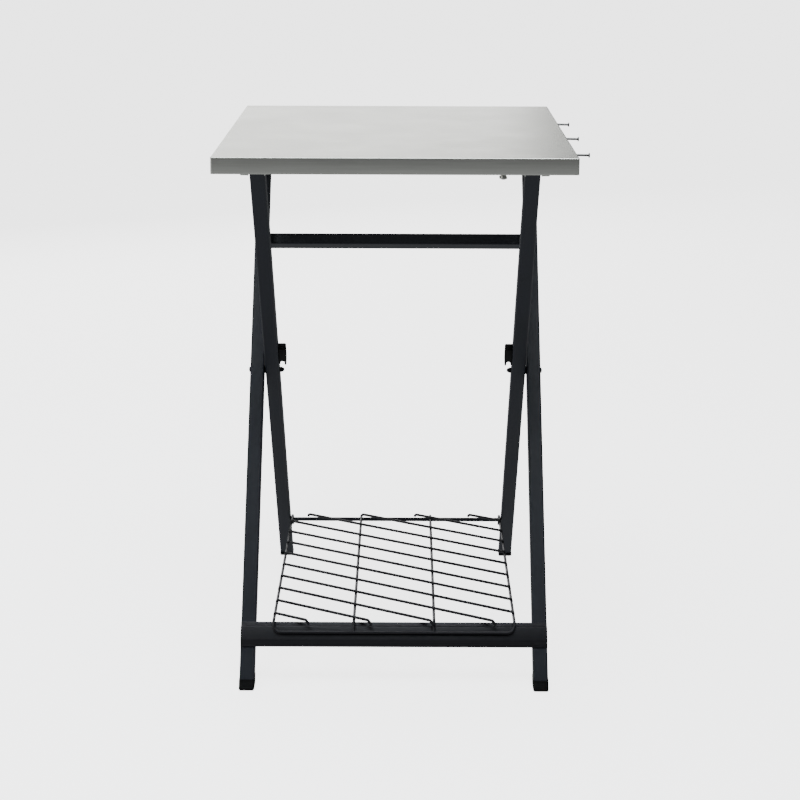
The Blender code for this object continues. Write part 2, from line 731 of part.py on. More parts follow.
def main():
    clear_scene()
    stainless = finish("brushed_stainless", (0.60, 0.60, 0.58), 1.0, 0.38)
    paint = finish("black_powder_coat", (0.017, 0.019, 0.022), 0.0, 0.50)
    plastic = finish("black_plastic", (0.010, 0.010, 0.011), 0.0, 0.55)
    steel = finish("blackened_steel", (0.030, 0.030, 0.032), 0.6, 0.45)
    peg_metal = finish("grey_steel", (0.120, 0.120, 0.118), 0.9, 0.40)
    table = empty("table", (0, 0, 0))
    outer = empty("outer_frame", (0, PIVOT_Y, PIVOT_Z), OUTER_LEAN, table)
    inner = empty("inner_frame", (0, PIVOT_Y, PIVOT_Z), INNER_LEAN, table)
    worktop = empty("worktop", (0, 0, 0), parent=table)
    latch = empty("latch_axis", (LATCH_X, LATCH_Y, 0), parent=worktop)
    shelf = empty("shelf", (0, 0, 0), parent=table)
    make_outer_frame(paint, plastic, steel, outer)
    make_inner_frame(paint, plastic, steel, inner)
    make_worktop(stainless, steel, peg_metal, worktop)
    make_latch(stainless, steel, worktop, latch)
    make_shelf(paint, shelf)
    stand_on_floor(table)


main()
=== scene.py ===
"""Folding side table: a satin stainless worktop on black powder-coated scissor legs, with a wire shelf.

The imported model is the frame. The operators below build the pieces that stand for its sheet, wire, turned
and moulded parts, finish the nodes that stay, and set the studio. Sizes are in metres, +Z up, +Y to the back.
"""

import json
import math

import bmesh
import bpy
from mathutils import Matrix, Vector


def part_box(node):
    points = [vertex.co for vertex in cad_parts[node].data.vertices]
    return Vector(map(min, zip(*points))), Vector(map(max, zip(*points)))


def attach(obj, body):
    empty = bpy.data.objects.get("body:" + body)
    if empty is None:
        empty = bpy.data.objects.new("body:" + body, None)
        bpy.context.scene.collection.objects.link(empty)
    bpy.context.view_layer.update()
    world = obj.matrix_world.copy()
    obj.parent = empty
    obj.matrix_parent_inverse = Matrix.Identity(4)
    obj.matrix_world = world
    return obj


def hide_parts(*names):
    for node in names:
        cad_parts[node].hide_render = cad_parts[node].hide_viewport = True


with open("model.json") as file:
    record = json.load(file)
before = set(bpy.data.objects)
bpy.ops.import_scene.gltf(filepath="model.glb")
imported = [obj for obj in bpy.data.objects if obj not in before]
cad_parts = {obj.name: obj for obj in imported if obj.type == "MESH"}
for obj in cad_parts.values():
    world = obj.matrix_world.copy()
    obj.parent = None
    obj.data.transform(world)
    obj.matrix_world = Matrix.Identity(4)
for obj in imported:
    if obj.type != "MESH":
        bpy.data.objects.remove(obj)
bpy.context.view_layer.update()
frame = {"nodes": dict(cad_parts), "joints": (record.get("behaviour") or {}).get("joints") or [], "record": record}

bl_info = {
    "name": "Folding Side Table",
    "version": (1, 0, 0),
    "blender": (4, 5, 0),
    "location": "View3D > Sidebar > Side Table",
    "description": "Builds a folding stainless side table, piece by piece, and its studio",
    "category": "Add Mesh",
}

SIDES = {"left": -1, "right": 1}
ACROSS = Vector((1.0, 0.0, 0.0))
PIVOT = Vector(next(j["pos_m"] for j in frame["joints"] if j["name"] == "leg_fold"))
TOUCH = 0.00001  # how near a place must be to count as the same place
WELD = 0.0007  # how far one welded wire sinks into the other
SHELF_HOOK = 0.0860  # height of the shelf's front loop, down the rail
SLANT_START = 0.0515  # how far the middle slanting wire starts outside the left side wire
SLANTS_BEFORE = 8  # slanting wires that come before that one

# Each slot's finish, and each CAD node's slot, which its imported material is named for
FINISH_NAMES = {
    "stainless_sheet": "brushed_stainless_sheet",
    "black_powder_coat": "black_powder_coat",
    "black_moulding": "black_moulded_polypropylene",
    "fastener_steel": "blackened_fastener_steel",
    "peg_steel": "zinc_plated_peg_steel",
}
SLOTS = {name: node.data.materials[0].name for name, node in frame["nodes"].items()}


def linear(code):
    """A colour written as an sRGB hex value, in the linear numbers that Blender mixes."""
    values = [int(code[i : i + 2], 16) / 255 for i in (1, 3, 5)]
    return tuple(v / 12.92 if v <= 0.04045 else ((v + 0.055) / 1.055) ** 2.4 for v in values)


def length(name, description, default):
    return bpy.props.FloatProperty(
        name=name,
        description=description,
        default=default,
        min=0.0,
        precision=5,
        unit="LENGTH",
        subtype="DISTANCE",
    )


def angle(name, description, degrees):
    return bpy.props.FloatProperty(
        name=name, description=description, default=math.radians(degrees), unit="ROTATION", subtype="ANGLE"
    )


def colour(name, description, code):
    return bpy.props.FloatVectorProperty(
        name=name, description=description, default=linear(code), size=3, min=0.0, max=1.0, subtype="COLOR"
    )


class SideTableSizes(bpy.types.PropertyGroup):
    """Sizes that the pieces are shaped from"""

    sheet: length("Sheet", "Thickness of the worktop's stainless sheet", 0.0012)
    pan_corner: length("Pan corner", "Radius of the worktop's upright corners", 0.0030)
    pan_edge: length("Pan edge", "Bend radius between the top and its aprons", 0.0020)
    apron_lip: length("Apron lip", "How far the apron's lower lip turns in", 0.0120)
    outer_lean: angle("Outer lean", "Lean of the outer legs, back from upright", -36.5)
    inner_lean: angle("Inner lean", "Lean of the inner legs, forward from upright", 35.0)
    tube: length("Leg tube", "Side of the square leg tube", 0.0250)
    fit: length("Fit", "Clearance between parts that touch", 0.0003)
    front_foot: length("Front foot", "Height of the moulded front feet", 0.0160)
    rear_foot: length("Rear foot", "Height of the moulded rear feet", 0.0070)
    foot_corner: length("Foot corner", "Radius of the feet's upright corners", 0.0032)
    rail_top: length("Rail top", "Height of the shelf rail's upper edge", 0.0970)
    rail_bottom: length("Rail bottom", "Height of the shelf rail's lower edge", 0.0620)
    rail_depth: length("Rail depth", "How far the rail's middle band stands forward", 0.0060)
    rail_sheet: length("Rail sheet", "Thickness of the shelf rail's sheet", 0.0015)
    wire: length("Wire", "Diameter of the shelf's wires", 0.0050)
    wire_bend: length("Wire bend", "Radius of the bends in the shelf's wires", 0.0045)
    shelf_half: length("Shelf half width", "From the shelf's middle to its side wires", 0.2050)
    slant_pitch: length("Slant pitch", "Distance between slanting wires along the shelf's back", 0.10570)
    slant: angle("Slant", "Angle of the slanting wires to the shelf's back", 30.0)
    slant_count: bpy.props.IntProperty(
        name="Slanting wires", description="Number of slanting wires", default=13, min=1, max=40
    )
    peg_drop: length("Peg drop", "From the worktop's top down to the pegs' roots", 0.0160)
    soft_edge: length("Soft edge", "Rounding of cut sheet edges", 0.0004)


class SideTableColours(bpy.types.PropertyGroup):
    """Colours of the finishes"""

    stainless: colour("Stainless", "Brushed stainless sheet", "#cfcfc7")
    powder: colour("Powder coat", "Black powder coat", "#1d212a")
    moulding: colour("Moulding", "Black moulded polypropylene", "#0e0e0e")
    fastener: colour("Fasteners", "Blackened steel of bolts, nuts and screws", "#2a2a2c")
    peg: colour("Pegs", "Grey zinc-plated steel of the hook strip", "#6d6d6b")
    floor: colour("Floor", "Studio floor", "#f4f4f4")


# Modelling by hand, in code


def start_fresh():
    if bpy.context.mode != "OBJECT":
        bpy.ops.object.mode_set(mode="OBJECT")
    bpy.ops.object.select_all(action="DESELECT")


def open_piece():
    """Puts the new primitive's place into its mesh and opens it, selected all over."""
    bpy.ops.object.transform_apply(location=True, rotation=True, scale=True)
    bpy.ops.object.mode_set(mode="EDIT")
    bpy.ops.mesh.select_all(action="SELECT")


def add_block(low, high):
    low, high = Vector(low), Vector(high)
    start_fresh()
    bpy.ops.mesh.primitive_cube_add(size=1.0, location=(low + high) / 2, scale=high - low)
    open_piece()


def add_disc(place, way, radius, sides):
    start_fresh()
    turn = Vector(way).to_track_quat("Z", "Y").to_euler()
    bpy.ops.mesh.primitive_circle_add(
        vertices=sides, radius=radius, fill_type="NGON", location=place, rotation=turn
    )
    open_piece()


def pick(kind, test):
    """Selects only the faces, or edges, that pass a test of their middle and of their normal, or run."""
    bpy.ops.mesh.select_mode(type=kind)
    bpy.ops.mesh.select_all(action="DESELECT")
    mesh = bpy.context.edit_object.data
    shape = bmesh.from_edit_mesh(mesh)
    if kind == "FACE":
        parts = [(face, face.calc_center_median(), face.normal) for face in shape.faces]
    else:
        ends = [(edge, edge.verts[0].co, edge.verts[1].co) for edge in shape.edges]
        parts = [(edge, (a + b) / 2, (b - a).normalized()) for edge, a, b in ends]
    found = [part for part, middle, way in parts if test(middle, way)]
    if not found:
        raise RuntimeError(f"nothing to shape on {bpy.context.edit_object.name}")
    for part in found:
        part.select_set(True)
    bmesh.update_edit_mesh(mesh)


def push(offset):
    bpy.ops.mesh.extrude_region_move(TRANSFORM_OT_translate={"value": tuple(offset)})


def scale_about(centre, factors):
    bpy.ops.transform.resize(value=tuple(factors), center_override=tuple(centre))


def round_off(radius, steps):
    bpy.ops.mesh.bevel(offset=radius, offset_type="OFFSET", segments=steps, affect="EDGES")


def add_turned(place, way, profile, sides=32):
    """A disc grown along a way by extruding it, and resized to each radius of (radius, distance)."""
    place, way = Vector(place), Vector(way).normalized()
    radius, distance = profile[0]
    add_disc(place + way * distance, way, radius, sides)
    for next_radius, next_distance in profile[1:]:
        push(way * (next_distance - distance))
        scale_about(place + way * next_distance, (next_radius / radius,) * 3)
        radius, distance = next_radius, next_distance


def dome(radius, start, rise, degrees):
    """The part of a turned profile that closes a round head, from its rim to near its crown."""
    turns = [math.radians(value) for value in degrees]
    return [(radius * math.cos(turn), start + rise * math.sin(turn)) for turn in turns]


def add_wire(route, radius, sides):
    """A round wire through the route's corners. Each corner holds its place and its bend radius."""
    places = [Vector(place) for place, bend in route]
    here, way = places[0], (places[1] - places[0]).normalized()
    add_disc(here, way, radius, sides)
    for i in range(1, len(places)):
        turn, back = 0.0, 0.0
        if i + 1 < len(places):
            after = (places[i + 1] - places[i]).normalized()
            turn = way.angle(after)
            back = route[i][1] * math.tan(turn / 2)
        run = (places[i] - here).length - back
        push(way * run)
        here = here + way * run
        if turn > 0.001:
            axle = way.cross(after).normalized()
            centre = here + axle.cross(way) * route[i][1]
            steps = max(2, math.ceil(math.degrees(turn) / 18))
            bpy.ops.mesh.spin(steps=steps, angle=-turn, center=centre, axis=axle)
            here, way = places[i] + after * back, after


def close_piece(name, body, slot, finish, *nodes, crease=35):
    """Turns the faces outwards, names and finishes the open piece, and lets it ride on its body."""
    bpy.ops.mesh.select_all(action="SELECT")
    bpy.ops.mesh.normals_make_consistent(inside=False)
    bpy.ops.object.mode_set(mode="OBJECT")
    piece = bpy.context.object
    piece.name = name
    piece.data.name = name
    piece.data.materials.clear()
    piece.data.materials.append(finish)
    bpy.ops.object.shade_smooth_by_angle(angle=math.radians(crease))
    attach(piece, body)
    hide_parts(*nodes)
    return piece


def apply_modifier(kind, **settings):
    """Adds a modifier to the open piece and applies it, leaving the piece open."""
    bpy.ops.object.mode_set(mode="OBJECT")
    piece = bpy.context.object
    modifier = piece.modifiers.new(kind.lower(), kind)
    for name, value in settings.items():
        setattr(modifier, name, value)
    bpy.ops.object.modifier_apply(modifier=modifier.name)
    bpy.ops.object.mode_set(mode="EDIT")


def carve(piece, operation):
    """Cuts the piece by the open one, or keeps what they share, and leaves the piece open."""
    bpy.ops.object.mode_set(mode="OBJECT")
    tool = bpy.context.object
    start_fresh()
    bpy.context.view_layer.objects.active = piece
    piece.select_set(True)
    bpy.ops.object.mode_set(mode="EDIT")
    apply_modifier("BOOLEAN", operation=operation, solver="EXACT", object=tool)
    bpy.data.objects.remove(tool)


def set_down():
    """Closes the open piece for now, and returns it."""
    bpy.ops.object.mode_set(mode="OBJECT")
    return bpy.context.object


def soften_edges(width, steps, limit=40):
    apply_modifier(
        "BEVEL", width=width, segments=steps, limit_method="ANGLE", angle_limit=math.radians(limit)
    )


def copy_node(node):
    """A copy of a CAD node with its triangles merged into whole faces, open for shaping."""
    start_fresh()
    piece = bpy.data.objects.new(node, frame["nodes"][node].data.copy())
    bpy.context.scene.collection.objects.link(piece)
    bpy.context.view_layer.objects.active = piece
    piece.select_set(True)
    bpy.ops.mesh.customdata_custom_splitnormals_clear()
    bpy.ops.object.mode_set(mode="EDIT")
    bpy.ops.mesh.select_all(action="SELECT")
    bpy.ops.mesh.remove_doubles(threshold=TOUCH)
    bpy.ops.mesh.mark_sharp(clear=True)
    bpy.ops.mesh.dissolve_limited(angle_limit=math.radians(0.5))


# Finishes


def add_node(tree, kind, inputs=None, **settings):
    """A node with its settings. An input takes a value, or another node's output that is linked to it."""
    node = tree.nodes.new(kind)
    for name, value in settings.items():
        setattr(node, name, value)
    for socket, value in (inputs or {}).items():
        if isinstance(value, bpy.types.NodeSocket):
            tree.links.new(value, node.inputs[socket])
        else:
            node.inputs[socket].default_value = value
    return node


def new_finish(name, inputs=None):
    """A material with a Principled shader whose uniform values sit on its own sockets."""
    finish = bpy.data.materials.new(name)
    finish.use_nodes = True
    tree = finish.node_tree
    shader = tree.nodes["Principled BSDF"]
    for socket, value in (inputs or {}).items():
        shader.inputs[socket].default_value = value
    place = add_node(tree, "ShaderNodeTexCoord").outputs["Object"]
    return finish, tree, shader, place


def noise(tree, place, grain, detail=2.0, stretch=(1.0, 1.0, 1.0)):
    """Noise with a grain of that size in metres, drawn out along each axis by stretch."""
    size = [1.0 / (grain * s) for s in stretch]
    drawn = add_node(tree, "ShaderNodeMapping", {"Vector": place, "Scale": size})
    texture = add_node(
        tree, "ShaderNodeTexNoise", {"Vector": drawn.outputs[0], "Scale": 1.0, "Detail": detail}
    )
    return texture.outputs["Fac"]


def spread(tree, value, low, high, start=0.3, end=0.7):
    """Noise from start to end, spread over low to high."""
    ends = {"Value": value, "From Min": start, "From Max": end, "To Min": low, "To Max": high}
    return add_node(tree, "ShaderNodeMapRange", ends).outputs[0]


def tint(tree, factor, first, second):
    """Two colours mixed by a factor."""
    inputs = {0: factor, 6: (*first, 1.0), 7: (*second, 1.0)}
    return add_node(tree, "ShaderNodeMix", inputs, data_type="RGBA").outputs[2]


def shade(rgb, factor):
    return tuple(min(1.0, value * factor) for value in rgb)


def brushed_stainless(colours):
    """Austenitic stainless sheet, satin brushed: fine hairlines across the table blur each reflection
    into a soft sheen, a little broader in patches about a hand's width across, where hands and cloths have been."""
    finish, tree, shader, place = new_finish(FINISH_NAMES["stainless_sheet"], {"Metallic": 1.0})
    base = tuple(colours.stainless)
    normal = add_node(tree, "ShaderNodeNewGeometry").outputs["Normal"]
    sideways = add_node(tree, "ShaderNodeSeparateXYZ", {0: normal}).outputs["X"]
    sideways = add_node(tree, "ShaderNodeMath", {0: sideways}, operation="ABSOLUTE").outputs[0]
    sideways = spread(tree, sideways, 0.0, 1.0, 0.6, 0.8)
    # Hairlines are about 0.1 mm apart; they are drawn 0.7 mm apart so that they show
    hairline = 0.0007
    along = noise(tree, place, hairline, 3.0, (70.0, 1.0, 1.0))
    down = noise(tree, place, hairline, 3.0, (1.0, 1.0, 60.0))
    lines = add_node(tree, "ShaderNodeMix", {0: sideways, 2: along, 3: down}).outputs[0]
    cloud = noise(tree, place, 0.11, 3.0)
    streak = noise(tree, place, 0.004, 2.0, (60.0, 1.0, 1.0))
    worn = add_node(tree, "ShaderNodeMath", {0: lines, 1: streak}, operation="MULTIPLY").outputs[0]
    colour_mix = spread(tree, worn, 0.0, 1.0, 0.12, 0.42)
    tree.links.new(tint(tree, colour_mix, shade(base, 0.94), shade(base, 1.05)), shader.inputs["Base Color"])
    rough = add_node(
        tree,
        "ShaderNodeMath",
        {0: spread(tree, lines, -0.03, 0.03), 1: spread(tree, cloud, 0.36, 0.42)},
        operation="ADD",
    )
    tree.links.new(rough.outputs[0], shader.inputs["Roughness"])
    bump = add_node(tree, "ShaderNodeBump", {"Strength": 0.25, "Distance": 0.00004, "Height": lines})
    tree.links.new(bump.outputs[0], shader.inputs["Normal"])
    return finish


def black_powder_coat(colours):
    """Polyester powder coat, baked on steel: near black with a cool cast, semi-gloss, and with the fine
    orange peel of a sprayed and melted film, which breaks up its highlights."""
    finish, tree, shader, place = new_finish(
        FINISH_NAMES["black_powder_coat"], {"Specular IOR Level": 0.4, "IOR": 1.5}
    )
    base = tuple(colours.powder)
    # Orange peel has waves 1 to 2 mm long; the finer grain of the film is 0.4 mm
    peel = noise(tree, place, 0.0016, 2.0)
    grain = noise(tree, place, 0.0004, 1.0)
    cloud = noise(tree, place, 0.05, 3.0)
    film = add_node(tree, "ShaderNodeMath", {0: grain, 1: 0.35, 2: peel}, operation="MULTIPLY_ADD")
    bump = add_node(
        tree, "ShaderNodeBump", {"Strength": 0.35, "Distance": 0.00012, "Height": film.outputs[0]}
    )
    tree.links.new(bump.outputs[0], shader.inputs["Normal"])
    tree.links.new(
        tint(tree, spread(tree, cloud, 0.0, 1.0), shade(base, 0.88), shade(base, 1.15)),
        shader.inputs["Base Color"],
    )
    rough = add_node(
        tree,
        "ShaderNodeMath",
        {0: spread(tree, peel, -0.04, 0.04), 1: spread(tree, cloud, 0.42, 0.50)},
        operation="ADD",
    )
    tree.links.new(rough.outputs[0], shader.inputs["Roughness"])
    return finish


def black_moulding(colours):
    """Polypropylene, injection moulded in a spark-eroded mould: matt, with an even fine grain."""
    finish, tree, shader, place = new_finish(
        FINISH_NAMES["black_moulding"], {"Specular IOR Level": 0.2, "IOR": 1.49}
    )
    base = tuple(colours.moulding)
    # The mould's grain is about 0.2 mm; it is drawn at 0.5 mm so that it shows
    grain = noise(tree, place, 0.0005, 2.0)
    flow = noise(tree, place, 0.012, 2.0)
    bump = add_node(tree, "ShaderNodeBump", {"Strength": 0.5, "Distance": 0.0001, "Height": grain})
    tree.links.new(bump.outputs[0], shader.inputs["Normal"])
    tree.links.new(
        tint(tree, spread(tree, flow, 0.0, 1.0), shade(base, 0.85), shade(base, 1.2)),
        shader.inputs["Base Color"],
    )
    tree.links.new(spread(tree, grain, 0.52, 0.64), shader.inputs["Roughness"])
    return finish


def plated_steel(slot, base, roughness, mottle):
    """Turned or rolled steel under a thin plating: a metal gleam, mottled where the bath left crystals."""
    finish, tree, shader, place = new_finish(FINISH_NAMES[slot], {"Metallic": 1.0})
    # Plating crystals and handling marks, 0.6 mm and 8 mm across
    crystals = noise(tree, place, 0.0006, 3.0)
    marks = noise(tree, place, 0.008, 3.0)
    both = add_node(tree, "ShaderNodeMath", {0: crystals, 1: marks}, operation="MULTIPLY").outputs[0]
    both = spread(tree, both, 0.0, 1.0, 0.15, 0.4)
    tree.links.new(
        tint(tree, both, shade(base, 1.0 - mottle), shade(base, 1.0 + mottle)), shader.inputs["Base Color"]
    )
    tree.links.new(spread(tree, marks, roughness - 0.05, roughness + 0.07), shader.inputs["Roughness"])
    bump = add_node(tree, "ShaderNodeBump", {"Strength": 0.3, "Distance": 0.00003, "Height": crystals})
    tree.links.new(bump.outputs[0], shader.inputs["Normal"])
    return finish


def make_finishes(colours):
    """One finish for each of the record's slots."""
    return {
        "stainless_sheet": brushed_stainless(colours),
        "black_powder_coat": black_powder_coat(colours),
        "black_moulding": black_moulding(colours),
        "fastener_steel": plated_steel("fastener_steel", tuple(colours.fastener), 0.42, 0.25),
        "peg_steel": plated_steel("peg_steel", tuple(colours.peg), 0.38, 0.15),
    }


def body_of(node):
    return next(body for body, nodes in frame["record"]["behaviour"]["bodies"].items() if node in nodes)


def hand_over(name, *nodes, crease=35):
    """Closes a piece that stands for CAD nodes, and takes its body, slot and finish from the first."""
    slot = SLOTS[nodes[0]]
    finish = bpy.data.materials[FINISH_NAMES[slot]]
    return close_piece(name, body_of(nodes[0]), slot, finish, *nodes, crease=crease)


class SideTableOperator:
    """What every step of the build shares"""

    bl_options = {"REGISTER", "UNDO"}

    @classmethod
    def poll(cls, context):
        return context.scene is not None


class SIDETABLE_OT_finishes(SideTableOperator, bpy.types.Operator):
    """Makes the five finishes and coats every CAD node with its own"""

    bl_idname = "side_table.finishes"
    bl_label = "Finishes"

    def execute(self, context):
        for slot, finish in make_finishes(context.scene.side_table_colours).items():
            for name, node in frame["nodes"].items():
                if SLOTS[name] == slot:
                    node.data.materials.clear()
                    node.data.materials.append(finish)
        return {"FINISHED"}


class SIDETABLE_OT_worktop(SideTableOperator, bpy.types.Operator):
    """Folds the worktop's pan: top, aprons and the lips turned in below them"""

    bl_idname = "side_table.worktop"
    bl_label = "Worktop"

    def execute(self, context):
        sizes = context.scene.side_table_sizes
        low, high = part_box("worktop_pan")
        middle, span = (low + high) / 2, high - low
        add_block(low, high)
        pick("EDGE", lambda place, run: abs(run.z) > 0.9)
        round_off(sizes.pan_corner, 8)
        pick("EDGE", lambda place, run: place.z > high.z - TOUCH)
        round_off(sizes.pan_edge, 6)
        pick("EDGE", lambda place, run: place.z < low.z + TOUCH)
        round_off(sizes.sheet, 4)
        pick("FACE", lambda place, normal: normal.z < -0.99)
        flat = [span[i] - 2 * sizes.sheet for i in (0, 1)]
        lip = [span[i] - 2 * sizes.apron_lip for i in (0, 1)]
        push((0, 0, 0))
        scale_about(middle, (lip[0] / flat[0], lip[1] / flat[1], 1.0))
        push((0, 0, sizes.sheet))
        push((0, 0, 0))
        scale_about(middle, (flat[0] / lip[0], flat[1] / lip[1], 1.0))
        push((0, 0, span.z - 2 * sizes.sheet))
        hand_over("folded_worktop", "worktop_pan")
        return {"FINISHED"}


class SIDETABLE_OT_brackets(SideTableOperator, bpy.types.Operator):
    """Rounds the cut edges of the folded brackets, the ribs and the turn button under the worktop"""

    bl_idname = "side_table.brackets"
    bl_label = "Brackets"

    def execute(self, context):
        edge = context.scene.side_table_sizes.soft_edge
        for side in SIDES:
            for node, name in (
                (f"hinge_bracket_{side}", f"hinge_seat_{side}"),
                (f"catch_bracket_{side}", f"catch_seat_{side}"),
                (f"underside_rib_{side}", f"stiffening_rib_{side}"),
            ):
                copy_node(node)
                soften_edges(edge, 2)
                hand_over(name, node)
        copy_node("stow_latch")
        soften_edges(edge, 2)
        hand_over("turn_button", "stow_latch")
        return {"FINISHED"}


class SIDETABLE_OT_feet(SideTableOperator, bpy.types.Operator):
    """Moulds the four feet: skewed blocks with a rounded tread and a shadow groove under the rim"""

    bl_idname = "side_table.feet"
    bl_label = "Feet"

    def foot(self, node, name, height, lean):
        rim, rim_edge, groove_width, groove_depth = 0.0022, 0.0005, 0.0008, 0.0005
        wall, plug, tread = 0.0033, 0.006, min(0.0028, height * 0.4)
        low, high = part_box(node)
        depth = (high.x - low.x) / math.cos(lean)
        front = low.y if lean < 0 else high.y - depth
        add_block((low.x, front, low.z), (high.x, front + depth, low.z + height))
        pick("FACE", lambda place, normal: normal.z > 0.9)
        bpy.ops.transform.translate(value=(0, -height * math.tan(lean), 0))
        pick("EDGE", lambda place, run: abs(run.z) > 0.5)
        round_off(bpy.context.scene.side_table_sizes.foot_corner, 5)
        pick("EDGE", lambda place, run: place.z < low.z + TOUCH)
        round_off(tread, 5)
        pick("EDGE", lambda place, run: place.z > low.z + height - TOUCH)
        round_off(rim_edge, 2)
        above = low.z + height - rim
        below = above - groove_width
        for level in (below, above):
            bpy.ops.mesh.select_all(action="SELECT")
            bpy.ops.mesh.bisect(plane_co=(0, 0, level), plane_no=(0, 0, 1))
        pick("FACE", lambda place, normal: below < place.z < above and abs(normal.z) < 0.9)
        bpy.ops.mesh.extrude_region_shrink_fatten(TRANSFORM_OT_shrink_fatten={"value": -groove_depth})
        pick("FACE", lambda place, normal: normal.z > 0.99 and place.z > low.z + height - TOUCH)
        bpy.ops.mesh.inset(thickness=wall)
        push((0, -plug * math.tan(lean), plug))
        hand_over(name, node)

    def execute(self, context):
        sizes = context.scene.side_table_sizes
        for side in SIDES:
            self.foot(f"front_foot_{side}", f"foot_front_{side}", sizes.front_foot, sizes.outer_lean)
            self.foot(f"rear_foot_{side}", f"foot_rear_{side}", sizes.rear_foot, sizes.inner_lean)
        return {"FINISHED"}


class SIDETABLE_OT_rail(SideTableOperator, bpy.types.Operator):
    """Folds the shelf rail: two flanges against the legs and a band that stands forward between them"""

    bl_idname = "side_table.rail"
    bl_label = "Shelf rail"

    def execute(self, context):
        sizes = context.scene.side_table_sizes
        low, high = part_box("front_shelf_rail")
        lean = sizes.outer_lean
        out = Vector((0, -math.cos(lean), -math.sin(lean)))
        up = Vector((0, -math.sin(lean), math.cos(lean)))
        flange = sizes.tube / 2 + sizes.fit + sizes.rail_sheet
        band = sizes.tube / 2 + sizes.fit + sizes.rail_depth

        def on_leg(stand, level, along=0.0):
            """A point that stands off the legs' middle line, so far along the leg from a level."""
            base = sizes.tube / 2 + sizes.fit
            distance = (level - PIVOT.z - out.z * base) / up.z
            return Vector((PIVOT.x, PIVOT.y, PIVOT.z)) + out * stand + up * (distance + along)

        top, bottom = sizes.rail_top, sizes.rail_bottom
        upper_flange, upper_fold, lower_flange, lower_fold = 0.0066, 0.0091, 0.0040, 0.0100
        fold_radius, cut_edge = 0.0011, 0.0003
        section = [
            on_leg(flange, top),
            on_leg(flange, top, -upper_flange),
            on_leg(band, top, -upper_fold),
            on_leg(band, bottom, lower_fold),
            on_leg(flange, bottom, lower_flange),
            on_leg(flange, bottom),
        ]
        start_fresh()
        bpy.ops.mesh.primitive_plane_add(
            size=1.0, location=(section[0] + section[1]) / 2, rotation=(math.pi / 2 + lean, 0, 0)
        )
        bpy.context.object.scale = (high.x - low.x, (section[1] - section[0]).length, 1.0)
        open_piece()
        pick("EDGE", lambda place, run: (place - section[1]).length < 10 * TOUCH)
        for before, after in zip(section[1:], section[2:]):
            push(after - before)
        folds = section[1:-1]
        pick("EDGE", lambda place, run: any((place - fold).length < 10 * TOUCH for fold in folds))
        round_off(fold_radius, 3)
        apply_modifier("SOLIDIFY", thickness=sizes.rail_sheet, offset=-1.0, use_even_offset=True)
        soften_edges(cut_edge, 2, 60)
        hand_over("shelf_rail", "front_shelf_rail")
        return {"FINISHED"}


